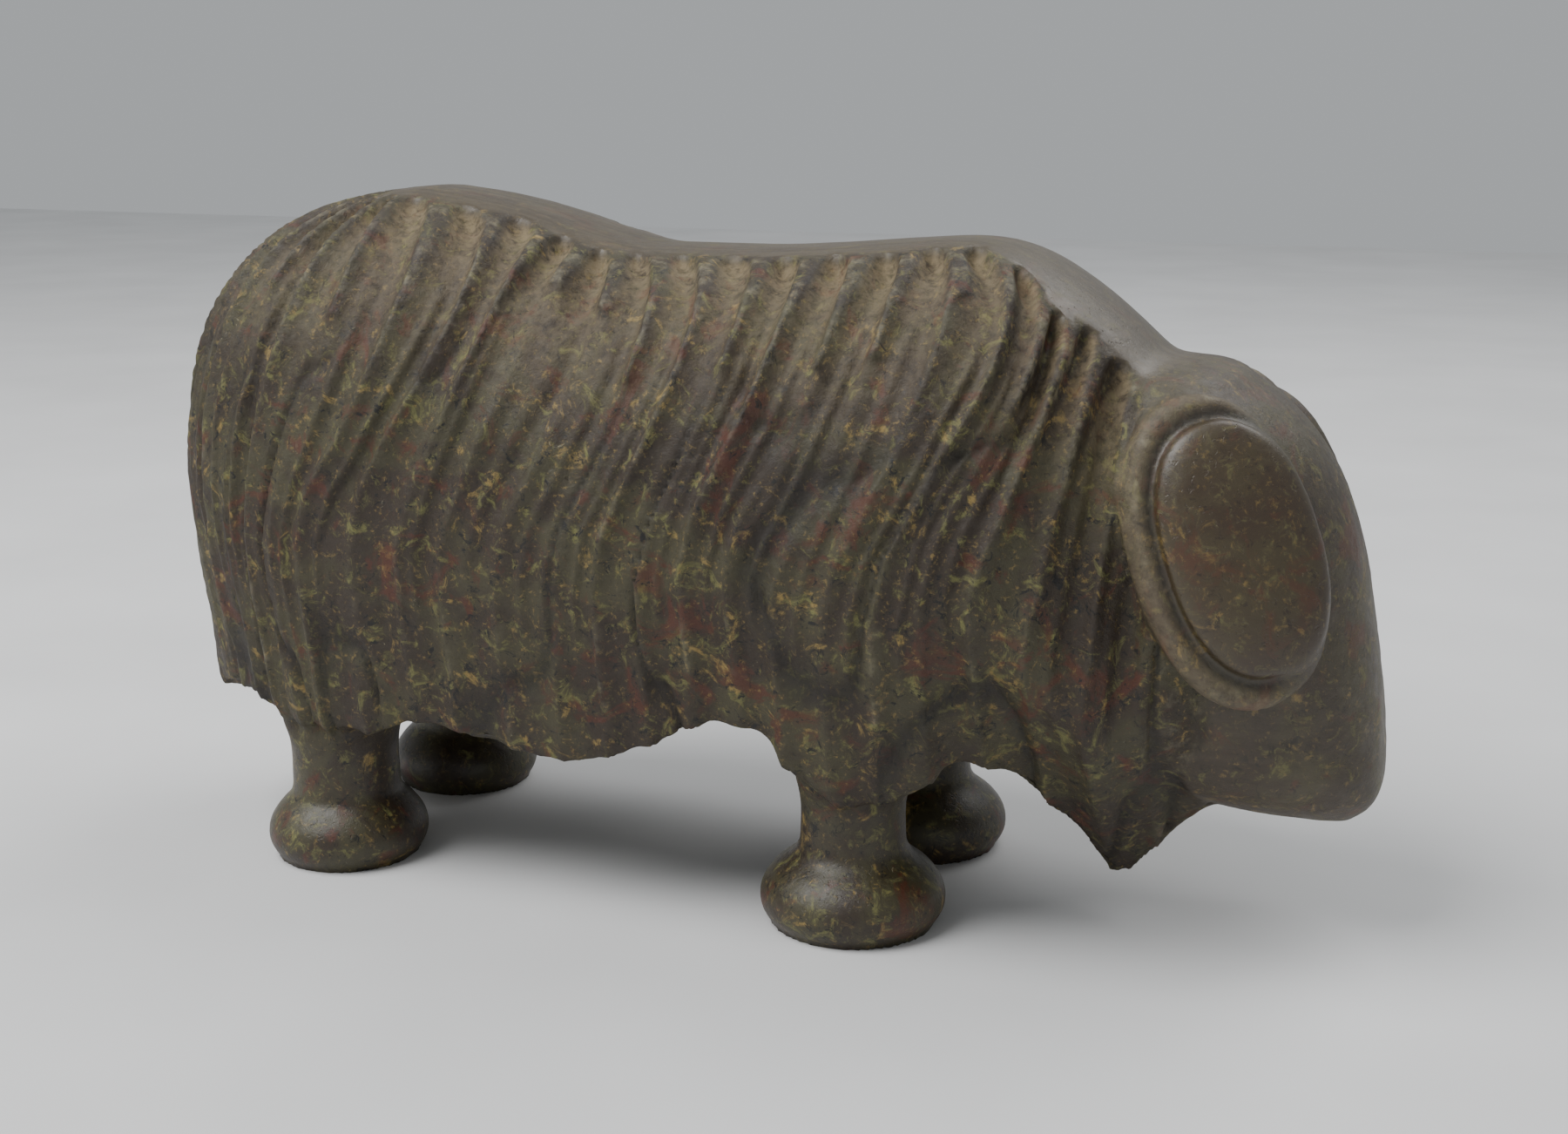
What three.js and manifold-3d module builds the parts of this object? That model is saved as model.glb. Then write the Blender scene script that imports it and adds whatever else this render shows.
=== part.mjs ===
import * as THREE from 'three';
import { mergeVertices } from 'three/addons/utils/BufferGeometryUtils.js';
import Module from 'manifold-3d';

// A musk ox carved from one block of soapstone. Millimetres, +X towards the head, +Z up, y = 0 the
// middle plane. The long coat is gouged into locks on each flank below a smooth back, the horns are
// two drooping oval plates on a blunt hanging head, and four short legs end in flared feet.

// The coat is measured by c, which runs along the flank as x does and, behind the hump, on round the
// rump to its middle line at coatRear. The locks of the rump fan out from the hump.
const hump = -60;
const coatRear = -130;
const coatFront = 95;
const rumpLength = 55.3;
const rumpPower = 2.05;
const rumpSlump = 2;

// Coat profiles along c: the ridge of the back, the half width, the lower edge of the skirt and the
// share of the width that is left at that edge.
const ridgeHeights = [
  [-60, 129.4], [-50, 128.2], [-36, 125.2], [-25, 122], [-12, 119.6], [5, 119.6], [20, 120.4],
  [34, 121.6], [46, 122.4], [55, 121.2], [66, 115.8], [75, 109.4], [82, 103.6], [90, 100], [96, 97],
];
const halfWidths = [
  [-60, 42], [-20, 42.8], [20, 42.8], [46, 42], [60, 39], [72, 34], [82, 29], [90, 25], [96, 21],
];
const hemHeights = [
  [-130, 25], [-112, 27], [-97, 31], [-86, 29.5], [-74, 27], [-60, 27.5],
  [-48, 31], [-30, 28.5], [-19, 27], [-8, 29.5], [2, 33.5], [11, 37.5], [18, 37], [24, 30.5], [29, 26],
  [38, 24.5], [48, 28.5], [53, 33], [60, 31], [68, 21], [76, 8.6], [79, 8], [86, 17], [95, 26],
];
const hemShares = [
  [-130, 0.95], [-90, 0.91], [0, 0.88], [46, 0.84], [56, 0.74], [66, 0.5], [76, 0.22], [80, 0.2], [96, 0.5],
];
const bellyRise = 3;
const waistShare = 0.48;

// Coat section from the ridge to the middle of the belly. Shoulder rows hold a share of the half
// width and how far down towards the waist they lie. Levels are the places of the mesh rows on it.
const shoulderRows = [[0, 0], [0.24, 0.012], [0.47, 0.062], [0.69, 0.19], [0.87, 0.42], [0.97, 0.7], [1, 1]];
const levels = [
  0, 0.055, 0.1, 0.122, 0.165, 0.22, 0.28, 0.345, 0.41, 0.48, 0.55, 0.62, 0.69, 0.755, 0.8, 0.9, 1,
];

// Locks: the sharp edges between the gouged channels where they start below the back, how far the
// channels swing forward and then fall back on their way down, and how deep they are at each level.
const lockEdges = [
  -130, -119, -108, -98, -89, -80, -71.5, -63, -54, -42, -31.5, -23.5, -17, -9.5, 0, 10.5, 20, 29.5, 38.5,
  46, 54, 62, 68, 74, 80, 86,
];
const lockFlow = [
  [-130, 0, 0], [-90, 0, 3], [-62, 3, 9], [-49, 9, 13], [-36, 5, 14], [-26, 2, 14], [-18, 6, 10], [-6, 8, 7],
  [8, 6, 9], [25, 4, 11], [40, 4, 12], [50, 9, 10], [60, 6, 10], [72, 1, 7], [84, 0, 2], [95, 0, 0],
];
const lockDepths = [
  [0, 0], [0.1, 0], [0.122, 1.7], [0.165, 2.6], [0.22, 2.7], [0.345, 2], [0.48, 1.2], [0.62, 1],
  [0.77, 1.1], [0.8, 0], [1, 0],
];
const lockTop = 0.1;
const lockLength = 0.36;
const channelRows = [[0, 0], [0.3, 0.8], [0.6, 1], [0.85, 0.6]];

// Head rows: height, front, back, half width and how square the face is.
const headRows = [
  [22.4, 117, 108, 2, 2.2], [24.5, 119.2, 98, 8, 2.4], [27.5, 121.3, 88, 14, 2.6], [32, 122.4, 81, 18, 2.6],
  [40, 121.9, 77, 20, 2.5], [50, 120.2, 76, 22, 2.5], [60, 118.2, 75, 24, 2.3], [73, 115.2, 75, 26, 2.2],
  [85, 110.4, 75, 26.5, 2.1], [93, 104.4, 75, 24, 2.1], [98.5, 98, 75, 20, 2.2], [102, 92, 77, 13, 2.2],
  [103.2, 87, 82, 3, 2],
];
const headLevels = 13;
const headSides = 24;
const headBackPower = 3;
const widestShare = 0.42;

// Horn plate: an oval on each cheek that leans in at the top and turns in towards the face. Its rings
// hold a share of the oval, how far the swell has moved over, and how far out it is in two places:
// on the side of the coat, where a band and a crease go round the swell, and on the side of the face.
const horn = {
  x: 96.8, y: 24.6, z: 74.4, halfLength: 15.8, halfHeight: 25.8, power: 2.3, tilt: 16, yaw: 26, lean: 18,
  innerShift: 2.1, creaseTurn: 15, sides: 22,
};
const hornRings = [
  [0.8, 0, -12, -12], [0.98, 0, -3, -3], [1, 0, -1.5, -1.5], [0.97, 0, 0, 0.3], [0.89, 1, 1.3, 1.9],
  [0.86, 1, 0.4, 2.3], [0.8, 1, 2.5, 3], [0.65, 1, 4.1, 4.2], [0.43, 1, 5.2, 5.3], [0.19, 1, 5.9, 5.9],
  [0.02, 1, 6, 6],
];

// Legs: place, widest foot radius and ankle radius of the rear and the front pair. Flare rows hold a
// height and how far the radius there has come from the ankle's to the foot's.
const legPairs = [
  { x: -73, y: 23.6, foot: 15.7, ankle: 10.2 },
  { x: 32, y: 21.5, foot: 17, ankle: 9.5 },
];
const flareRows = [[4.5, 1], [7.5, 0.9], [10.5, 0.68], [13.2, 0.39], [16, 0.12], [20, 0]];
const legTop = 42;
const legTopShare = 1.22;
const legLean = 0.09;
const legSides = 14;
const soleShare = 0.86;

const stone = new THREE.MeshStandardMaterial({ color: 0x4a4030, roughness: 0.5, metalness: 0 });

const wasm = await Module();
wasm.setup();

const clamp = (value, low, high) => Math.min(high, Math.max(low, value));

// A smooth curve through rows of [position, value, ...] that never overshoots between two rows.
function along(rows, position, column = 1) {
  const last = rows.length - 1;
  const at = clamp(position, rows[0][0], rows[last][0]);
  let i = 0;
  while (i < last - 1 && at > rows[i + 1][0]) i += 1;
  const slope = (k) => (rows[k + 1][column] - rows[k][column]) / (rows[k + 1][0] - rows[k][0]);
  const tangent = (k) => {
    if (k === 0) return slope(0);
    if (k === last) return slope(last - 1);
    const before = slope(k - 1);
    const after = slope(k);
    if (before * after <= 0) return 0;
    const stepBefore = rows[k][0] - rows[k - 1][0];
    const stepAfter = rows[k + 1][0] - rows[k][0];
    const mean = (before * stepAfter + after * stepBefore) / (stepBefore + stepAfter);
    return Math.sign(mean) * Math.min(Math.abs(mean), 3 * Math.min(Math.abs(before), Math.abs(after)));
  };
  const step = rows[i + 1][0] - rows[i][0];
  const t = (at - rows[i][0]) / step;
  const low = rows[i][column];
  const high = rows[i + 1][column];
  const start = low * (2 * t ** 3 - 3 * t ** 2 + 1) + tangent(i) * step * (t ** 3 - 2 * t ** 2 + t);
  const end = high * (3 * t ** 2 - 2 * t ** 3) + tangent(i + 1) * step * (t ** 3 - t ** 2);
  return start + end;
}

// The control points of the half section at c, from the ridge to the middle of the belly.
function sectionControls(c) {
  const ridge = along(ridgeHeights, c);
  const width = along(halfWidths, c);
  const hem = along(hemHeights, c);
  const share = along(hemShares, c);
  const waist = hem + waistShare * (ridge - hem);
  const belly = hem + bellyRise * clamp((58 - c) / 12, 0, 1);
  const upper = shoulderRows.map(([out, down]) => [out * width, ridge - down * (ridge - waist)]);
  const lower = [
    [0.99 * width, waist - 0.33 * (waist - hem)],
    [0.5 * (0.98 + share) * width, waist - 0.66 * (waist - hem)],
    [share * width, hem + 0.07 * (waist - hem)],
    [(share - 0.05) * width, hem],
    [(share - 0.16) * width * 0.98, hem + 0.55 * (belly - hem)],
    [0.5 * share * width, belly],
    [0, belly + along(hemHeights, Math.max(c, hump)) - hem],
  ];
  return [...upper, ...lower];
}

// A point of the section at c, with s from 0 on the ridge to 1 on the belly, as [distance out, height].
function sectionPoint(c, s) {
  const controls = sectionControls(c);
  const last = controls.length - 1;
  const i = clamp(Math.floor(s * last), 0, last - 1);
  const t = s * last - i;
  const pick = (k) => {
    if (k < 0) return [-controls[1][0], controls[1][1]];
    if (k > last) return [-controls[last - 1][0], controls[last - 1][1]];
    return controls[k];
  };
  const [before, low, high, after] = [i - 1, i, i + 1, i + 2].map(pick);
  return [0, 1].map((k) => {
    const square = 2 * before[k] - 5 * low[k] + 4 * high[k] - after[k];
    const cube = 3 * low[k] - before[k] - 3 * high[k] + after[k];
    return low[k] + 0.5 * ((high[k] - before[k]) * t + square * t ** 2 + cube * t ** 3);
  });
}

// A power of a sine or cosine that keeps its sign, which squares up an oval.
const squared = (value, power) => Math.sign(value) * Math.abs(value) ** (2 / power);

// A point of the uncarved coat. Behind the hump the section turns round an upright line there.
function coatPoint(c, s, side) {
  const [out, height] = sectionPoint(c, s);
  if (c >= hump) return new THREE.Vector3(c, side * out, height);
  const turn = (Math.PI / 2) * (hump - c) / (hump - coatRear);
  const reach = out * rumpLength / along(halfWidths, hump);
  return new THREE.Vector3(
    hump - reach * squared(Math.sin(turn), rumpPower),
    side * out * squared(Math.cos(turn), rumpPower),
    height - rumpSlump * Math.sin(turn) * Math.sin(Math.PI * Math.min(1, 2 * s)),
  );
}

// Where the channel that starts at c has got to at level s.
function flowed(c, s) {
  const u = clamp((s - lockTop) / lockLength, 0, 1.15);
  const swing = along(lockFlow, c, 1) * Math.sin(Math.PI * Math.min(u, 1));
  return c + swing - along(lockFlow, c, 2) * u ** 1.6;
}

// A point of the carved coat: the uncarved one, sunk along its normal into the channels.
function carvedPoint(c, s, side, share) {
  const at = flowed(c, s);
  const point = coatPoint(at, s, side);
  const depth = share * along(lockDepths, s);
  if (depth < 0.01) return point;
  const acrossC = coatPoint(at + 0.5, s, side).sub(coatPoint(at - 0.5, s, side));
  const acrossS = coatPoint(at, s + 0.01, side).sub(coatPoint(at, s - 0.01, side));
  const outward = acrossC.cross(acrossS).normalize().multiplyScalar(side);
  return point.addScaledVector(outward, -depth);
}

// A closed solid from rings of equal length. Each end is filled by strips across the ring.
function solidFromRings(rings) {
  const count = rings[0].length;
  const positions = rings.flat().flatMap((p) => [p.x, p.y, p.z]);
  const faces = [];
  const quad = (a, b, c, d) => faces.push(a, b, c, a, c, d);
  for (let r = 0; r < rings.length - 1; r += 1) {
    for (let k = 0; k < count; k += 1) {
      const next = (k + 1) % count;
      quad(r * count + k, r * count + next, (r + 1) * count + next, (r + 1) * count + k);
    }
  }
  const top = (rings.length - 1) * count;
  for (let k = 0; k < count / 2; k += 1) {
    const near = [k, k + 1];
    const far = [(count - k) % count, count - k - 1];
    quad(far[0], far[1], near[1], near[0]);
    quad(top + near[0], top + near[1], top + far[1], top + far[0]);
  }
  const geometry = new THREE.BufferGeometry();
  geometry.setAttribute('position', new THREE.Float32BufferAttribute(positions, 3));
  geometry.setIndex(faces);
  return solidFrom(geometry);
}

// A solid from a closed geometry, turned right side out.
function solidFrom(geometry) {
  const bare = geometry.clone();
  bare.deleteAttribute('normal');
  bare.deleteAttribute('uv');
  const merged = mergeVertices(bare, 1e-4);
  const faces = [];
  const index = merged.index.array;
  for (let i = 0; i < index.length; i += 3) {
    const [a, b, c] = [index[i], index[i + 1], index[i + 2]];
    if (a !== b && b !== c && c !== a) faces.push(a, b, c);
  }
  const build = (triangles) => new wasm.Manifold(new wasm.Mesh({
    numProp: 3,
    vertProperties: new Float32Array(merged.attributes.position.array),
    triVerts: new Uint32Array(triangles),
  }));
  const solid = build(faces);
  return solid.volume() > 0 ? solid : build(faces.reverse());
}

// The coat, from columns that follow the edges and floors of the channels. Each column is a ring that
// goes down the near flank and up the far one, and the rings run from the neck back to the rump.
function coatSolid() {
  const columns = [];
  lockEdges.slice(0, -1).forEach((edge, k) => {
    const width = lockEdges[k + 1] - edge;
    const tone = 0.82 + 0.18 * Math.sin(2.4 * k);
    channelRows.forEach(([place, share]) => columns.push([edge + place * width, share * tone]));
  });
  columns.push([lockEdges[lockEdges.length - 1], 0], [coatFront - 4, 0], [coatFront, 0]);
  return solidFromRings(columns.map(([c, share]) => {
    const near = levels.map((s) => carvedPoint(c, s, -1, share));
    const far = levels.map((s) => carvedPoint(c, s, 1, share));
    return [...near, ...far.reverse().slice(1, -1)];
  }));
}

function headSolid() {
  const low = headRows[0][0];
  const high = headRows[headRows.length - 1][0];
  const rings = [];
  for (let i = 0; i < headLevels; i += 1) {
    const height = low + (high - low) * (1 - Math.cos(Math.PI * i / (headLevels - 1))) / 2;
    const [front, back, half, power] = [1, 2, 3, 4].map((column) => along(headRows, height, column));
    const widest = back + widestShare * (front - back);
    const ring = [];
    for (let k = 0; k < headSides; k += 1) {
      const turn = 2 * Math.PI * k / headSides;
      const forward = Math.cos(turn) > 0;
      const shape = forward ? power : headBackPower;
      const reach = forward ? front - widest : widest - back;
      ring.push(new THREE.Vector3(
        widest + reach * squared(Math.cos(turn), shape),
        half * squared(Math.sin(turn), shape),
        height,
      ));
    }
    rings.push(ring);
  }
  return solidFromRings(rings);
}

// One horn plate, from its root inside the head to the top of the swell. It is laid out in its own
// frame of forward, up and out, then tilted, leaned in and turned to its place.
function hornSolid(side) {
  const radians = THREE.MathUtils.degToRad;
  const tilt = new THREE.Matrix4().makeRotationZ(radians(horn.tilt));
  const lean = radians(horn.lean);
  const yaw = radians(horn.yaw);
  const place = (point) => {
    const p = point.applyMatrix4(tilt);
    const up = p.y * Math.cos(lean) + p.z * Math.sin(lean);
    const out = p.z * Math.cos(lean) - p.y * Math.sin(lean);
    return new THREE.Vector3(
      horn.x + p.x * Math.cos(yaw) + out * Math.sin(yaw),
      side * (horn.y - p.x * Math.sin(yaw) + out * Math.cos(yaw)),
      horn.z + up,
    );
  };
  return solidFromRings(hornRings.map(([share, moved, coatOut, faceOut]) => {
    const ring = [];
    for (let k = 0; k < horn.sides; k += 1) {
      const turn = 2 * Math.PI * k / horn.sides;
      const coatShare = THREE.MathUtils.smoothstep(-Math.cos(turn - radians(horn.creaseTurn)), -0.15, 0.35);
      ring.push(place(new THREE.Vector3(
        moved * horn.innerShift + share * horn.halfLength * squared(Math.cos(turn), horn.power),
        share * horn.halfHeight * squared(Math.sin(turn), horn.power),
        faceOut + coatShare * (coatOut - faceOut),
      )));
    }
    return ring;
  }));
}

// A leg turned about its own axis, which leans forward as it rises: a flared bell of a foot with a
// flat sole, and an ankle.
function legSolid({ x, y, foot, ankle }) {
  const flare = flareRows.map(([height, share]) => [ankle + share * (foot - ankle), height]);
  const profile = [[0, 0], [soleShare * foot, 0], ...flare, [legTopShare * ankle, legTop], [0, legTop]];
  const geometry = new THREE.LatheGeometry(profile.map(([r, h]) => new THREE.Vector2(r, h)), legSides);
  geometry.rotateX(Math.PI / 2);
  geometry.applyMatrix4(new THREE.Matrix4().makeShear(0, 0, 0, 0, legLean, 0));
  geometry.translate(x, y, 0);
  return solidFrom(geometry);
}

function oxSolid() {
  let solid = coatSolid().add(headSolid());
  for (const side of [-1, 1]) {
    solid = solid.add(hornSolid(side));
    for (const pair of legPairs) solid = solid.add(legSolid({ ...pair, y: side * pair.y }));
  }
  return solid;
}

// The mesh of a solid, moved so that the middle of its box is over the origin.
function centredMesh(solid, name, material) {
  const { vertProperties, triVerts } = solid.getMesh();
  const geometry = new THREE.BufferGeometry();
  geometry.setAttribute('position', new THREE.BufferAttribute(new Float32Array(vertProperties), 3));
  geometry.setIndex(new THREE.BufferAttribute(new Uint32Array(triVerts), 1));
  geometry.computeBoundingBox();
  const middle = geometry.boundingBox.getCenter(new THREE.Vector3());
  geometry.translate(-middle.x, -middle.y, -geometry.boundingBox.min.z);
  geometry.computeVertexNormals();
  const mesh = new THREE.Mesh(geometry, material);
  mesh.name = name;
  return mesh;
}

const ox = new THREE.Group();
ox.add(centredMesh(oxSolid(), 'musk_ox', stone));

export default ox;
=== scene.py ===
import itertools
import math

import bpy
import numpy as np
from mathutils import Matrix, Vector


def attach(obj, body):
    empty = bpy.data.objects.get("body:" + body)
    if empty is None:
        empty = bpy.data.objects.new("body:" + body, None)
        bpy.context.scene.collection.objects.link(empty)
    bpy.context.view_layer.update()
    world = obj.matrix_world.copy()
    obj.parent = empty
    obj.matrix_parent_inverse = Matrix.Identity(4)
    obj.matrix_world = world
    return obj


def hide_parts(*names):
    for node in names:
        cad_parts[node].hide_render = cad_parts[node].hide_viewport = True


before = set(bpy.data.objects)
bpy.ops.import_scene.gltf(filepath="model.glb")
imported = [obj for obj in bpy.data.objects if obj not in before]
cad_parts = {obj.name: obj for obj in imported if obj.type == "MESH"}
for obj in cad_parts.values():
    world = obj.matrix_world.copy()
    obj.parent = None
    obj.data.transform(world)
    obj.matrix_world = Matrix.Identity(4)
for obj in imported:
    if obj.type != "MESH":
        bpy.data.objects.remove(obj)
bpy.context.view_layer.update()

print("frame loaded")

# The ox is worked out in millimetres, +X to the head and +Z up, then turned to metres at the end.
# c runs along the flank as x does and, behind the hump, on round the rump to its middle line.
# s runs down the section, 0 on the ridge of the back and 1 in the middle of the belly.
coat = {
    "hump": -60.0,
    "rear": -130.0,
    "front": 95.0,
    "rumpLength": 55.3,
    "rumpPower": 2.05,
    "rumpSlump": 2.0,
    "ridgeHeights": [
        (-60, 129.4), (-50, 128.2), (-36, 125.2), (-25, 122), (-12, 119.6), (5, 119.6), (20, 120.4),
        (34, 121.6), (46, 122.4), (55, 121.2), (66, 115.8), (75, 109.4), (82, 103.6), (90, 100), (96, 97)],
    "halfWidths": [
        (-60, 42), (-20, 42.8), (20, 42.8), (46, 42), (60, 39), (72, 34), (82, 29), (90, 25), (96, 21)],
    "hemHeights": [
        (-130, 25), (-112, 27), (-97, 31), (-86, 29.5), (-74, 27), (-60, 27.5), (-48, 31), (-30, 28.5),
        (-19, 27), (-8, 29.5), (2, 33.5), (11, 37.5), (18, 37), (24, 30.5), (29, 26), (38, 24.5),
        (48, 28.5), (53, 33), (60, 31), (68, 21), (76, 8.6), (79, 8), (86, 17), (95, 26)],
    "hemShares": [
        (-130, 0.95), (-90, 0.91), (0, 0.88), (46, 0.84), (56, 0.74), (66, 0.5), (76, 0.22), (80, 0.2), (96, 0.5)],
    "shoulders": [(0, 0), (0.24, 0.012), (0.47, 0.062), (0.69, 0.19), (0.87, 0.42), (0.97, 0.7), (1, 1)],
    "bellyRise": 5.0,
    "waistShare": 0.48,
    "columns": 260,
    "rows": 110,
}

locks = {
    "edges": [
        -130, -119, -108, -98, -89, -80, -71.5, -63, -54, -42, -31.5, -23.5, -17, -9.5, 0, 10.5, 20, 29.5,
        38.5, 46, 54, 62, 68, 74, 80, 86],
    "flow": [
        (-130, 0, 0), (-90, 0, 3), (-62, 3, 9), (-49, 9, 13), (-36, 5, 14), (-26, 2, 14), (-18, 6, 10),
        (-6, 8, 7), (8, 6, 9), (25, 4, 11), (40, 4, 12), (50, 9, 10), (60, 6, 10), (72, 1, 7), (84, 0, 2),
        (95, 0, 0)],
    "flowTop": 0.1,
    "flowLength": 0.36,
    "tips": [
        (-130, 0.035), (-108, 0.045), (-92, 0.06), (-80, 0.085), (-66, 0.11), (-49, 0.105), (0, 0.1), (40, 0.1),
        (50, 0.085), (58, 0.115), (66, 0.155), (86, 0.17)],
    "depths": [(0, 1), (0.1, 1), (0.2, 0.85), (0.32, 0.55), (0.45, 0.36), (0.6, 0.34), (0.8, 0.4)],
    "depth": 2.9,           # mm at the deepest part of a channel
    "scoopLength": 0.035,   # share of the section over which the gouge goes in
    "flatRidge": 0.17,      # share of a lock left uncut on each side at its tip
    # shorter gouges cut between the first ones: place, width, top, end and depth
    "between": [
        (-24.2, 6.5, 0.205, 0.4, 1.7), (-17.6, 6.0, 0.225, 0.42, 1.6), (49.0, 7.0, 0.2, 0.37, 1.5),
        (-9.6, 5.0, 0.31, 0.5, 1.2), (10.0, 5.0, 0.3, 0.5, 1.2), (29.0, 5.5, 0.29, 0.5, 1.3),
        (-45.5, 6.0, 0.33, 0.52, 1.3), (38.8, 5.0, 0.28, 0.48, 1.2), (62.0, 5.0, 0.3, 0.5, 1.2),
        (-63.0, 6.5, 0.3, 0.5, 1.5), (-80.5, 6.5, 0.27, 0.48, 1.4), (-98.0, 6.0, 0.3, 0.52, 1.3)],
    "strandWidth": 3.1,     # mm between the fine strands of the lower coat
    "strandDepth": 0.55,
    "creaseWidth": 7.0,
    "creaseDepth": 1.0,
    "hemRaggedness": 1.5,
}

head = {
    # height, front, back, half width and how square the face is
    "rows": [
        (22.4, 117, 108, 2, 2.2), (24.5, 119.2, 98, 8, 2.4), (27.5, 121.3, 88, 14, 2.6),
        (32, 122.4, 81, 18, 2.6), (40, 121.9, 77, 20, 2.5), (50, 120.6, 76, 22, 2.5),
        (60, 118.8, 75, 24, 2.3), (73, 116, 75, 26, 2.2), (85, 111, 75, 26.5, 2.1),
        (93, 104.8, 75, 24, 2.1), (98.5, 98, 75, 20, 2.2), (102, 92, 77, 13, 2.2), (103.2, 87, 82, 3, 2)],
    "backPower": 3.0,
    "widest": 0.42,
    "levels": 90,
    "sides": 120,
}

horn = {
    "x": 96.8, "y": 25.0, "z": 74.6,
    "halfLength": 15.8, "halfHeight": 26.2, "power": 2.3,
    "tilt": 16.0, "yaw": 24.0, "lean": 15.0,
    "depth": 12.0, "rimDrop": 1.5, "bandRise": 1.3, "bulge": 6.0,
    "innerShare": 0.86, "innerShift": 2.1,
    "creaseDepth": 1.1, "creaseWidth": 0.7, "beadHeight": 0.5,
}

legs = {
    "pairs": [
        {"x": -73.0, "y": 23.6, "foot": 15.6, "ankle": 10.2},
        {"x": 32.0, "y": 21.5, "foot": 17.0, "ankle": 9.4}],
    "top": 42.0,
    "sole": 0.86,
    "sides": 96,
}

block = {
    "voxel": 0.75,        # mm, the grain of the first closed surface
    "triangles": 194000,
    "filletPasses": 34,
    "softenPasses": 5,
}


# A smooth curve through rows that never overshoots: cubic pieces whose slopes are the weighted mean of
# the slopes on either side, and zero at a peak or a dip.
def curveThrough(rows, at, column=1):
    table = np.array(rows, dtype=float)
    place, value = table[:, 0], table[:, column]
    step, rise = np.diff(place), np.diff(table[:, column])
    slope = rise / step
    tangent = np.zeros(len(place))
    tangent[0], tangent[-1] = slope[0], slope[-1]
    mean = (slope[:-1] * step[1:] + slope[1:] * step[:-1]) / (step[1:] + step[:-1])
    most = 3 * np.minimum(np.abs(slope[:-1]), np.abs(slope[1:]))
    inner = np.sign(mean) * np.minimum(np.abs(mean), most)
    tangent[1:-1] = np.where(slope[:-1] * slope[1:] <= 0, 0, inner)
    at = np.clip(at, place[0], place[-1])
    i = np.clip(np.searchsorted(place, at, side="right") - 1, 0, len(place) - 2)
    t = (at - place[i]) / step[i]
    low = value[i] * (2 * t**3 - 3 * t**2 + 1) + tangent[i] * step[i] * (t**3 - 2 * t**2 + t)
    high = value[i + 1] * (3 * t**2 - 2 * t**3) + tangent[i + 1] * step[i] * (t**3 - t**2)
    return low + high


def ease(value, low, high):     # 0 below low, 1 above high and smooth between
    t = np.clip((value - low) / (high - low), 0, 1)
    return t * t * (3 - 2 * t)


def squared(value, power):      # a sine or cosine raised to 2/power, keeping its sign
    return np.sign(value) * np.abs(value) ** (2 / power)


# Smooth noise from 0 to 1: each whole-number corner gets a fixed scrambled value, and a point takes
# the eased blend of the corners round it.
def stoneNoise(points, seed):
    cell = np.floor(points).astype(np.int64)
    part = points - cell
    part = part * part * (3 - 2 * part)
    primes = (374761393, 668265263, 1274126177)
    total = np.zeros(len(points))
    for corner in itertools.product((0, 1), repeat=points.shape[1]):
        key = np.full(len(points), seed * 974711, dtype=np.int64)
        weight = np.ones(len(points))
        for axis, step in enumerate(corner):
            key += (cell[:, axis] + step) * primes[axis]
            weight *= part[:, axis] if step else 1 - part[:, axis]
        key &= 0xFFFFFFFF
        key = ((key ^ (key >> 13)) * 1274126177) & 0xFFFFFFFF
        key ^= key >> 16
        total += weight * (key & 0xFFFFFF) / 0xFFFFFF
    return total


def layeredNoise(points, seed, layers=3):
    total, share, size = 0, 0.5, 1.0
    for layer in range(layers):
        total = total + share * (stoneNoise(points * size, seed + layer) - 0.5)
        share, size = share * 0.5, size * 2.1
    return total * 2


# The half section at c: shoulder rows give a share of the width and how far down to the waist, then
# the flank tucks in to the hem and the belly rises behind it.
def sectionControls(c):
    ridge = curveThrough(coat["ridgeHeights"], c)
    width = curveThrough(coat["halfWidths"], c)
    hem = curveThrough(coat["hemHeights"], c)
    share = curveThrough(coat["hemShares"], c)
    waist = hem + coat["waistShare"] * (ridge - hem)
    belly = hem + coat["bellyRise"] * np.clip((58 - c) / 12, 0, 1)
    middle = belly + curveThrough(coat["hemHeights"], np.maximum(c, coat["hump"])) - hem
    out = [shoulder * width for shoulder, down in coat["shoulders"]]
    height = [ridge - down * (ridge - waist) for shoulder, down in coat["shoulders"]]
    out += [0.99 * width, 0.5 * (0.98 + share) * width, share * width, (share - 0.05) * width,
            (share - 0.16) * width * 0.98, 0.5 * share * width, 0 * width]
    height += [waist - 0.33 * (waist - hem), waist - 0.66 * (waist - hem), hem + 0.07 * (waist - hem), hem,
               hem + 0.55 * (belly - hem), belly, middle]
    return np.array(out), np.array(height)


# A point of the section: a spline through the controls, which are mirrored past both ends.
def sectionPoint(c, s):
    c, s = np.broadcast_arrays(np.asarray(c, float), np.asarray(s, float))
    shape = c.shape
    out, height = sectionControls(c.ravel())
    last = len(out) - 1
    out = np.concatenate([-out[1:2], out, -out[-2:-1]])
    height = np.concatenate([height[1:2], height, height[-2:-1]])
    i = np.clip(np.floor(s.ravel() * last).astype(int), 0, last - 1)
    t = s.ravel() * last - i
    column = np.arange(len(t))

    def spline(values):
        before, low, high, after = (values[i + k, column] for k in range(4))
        square = 2 * before - 5 * low + 4 * high - after
        cube = 3 * low - before - 3 * high + after
        return (low + 0.5 * ((high - before) * t + square * t**2 + cube * t**3)).reshape(shape)

    return spline(out), spline(height)


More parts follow.
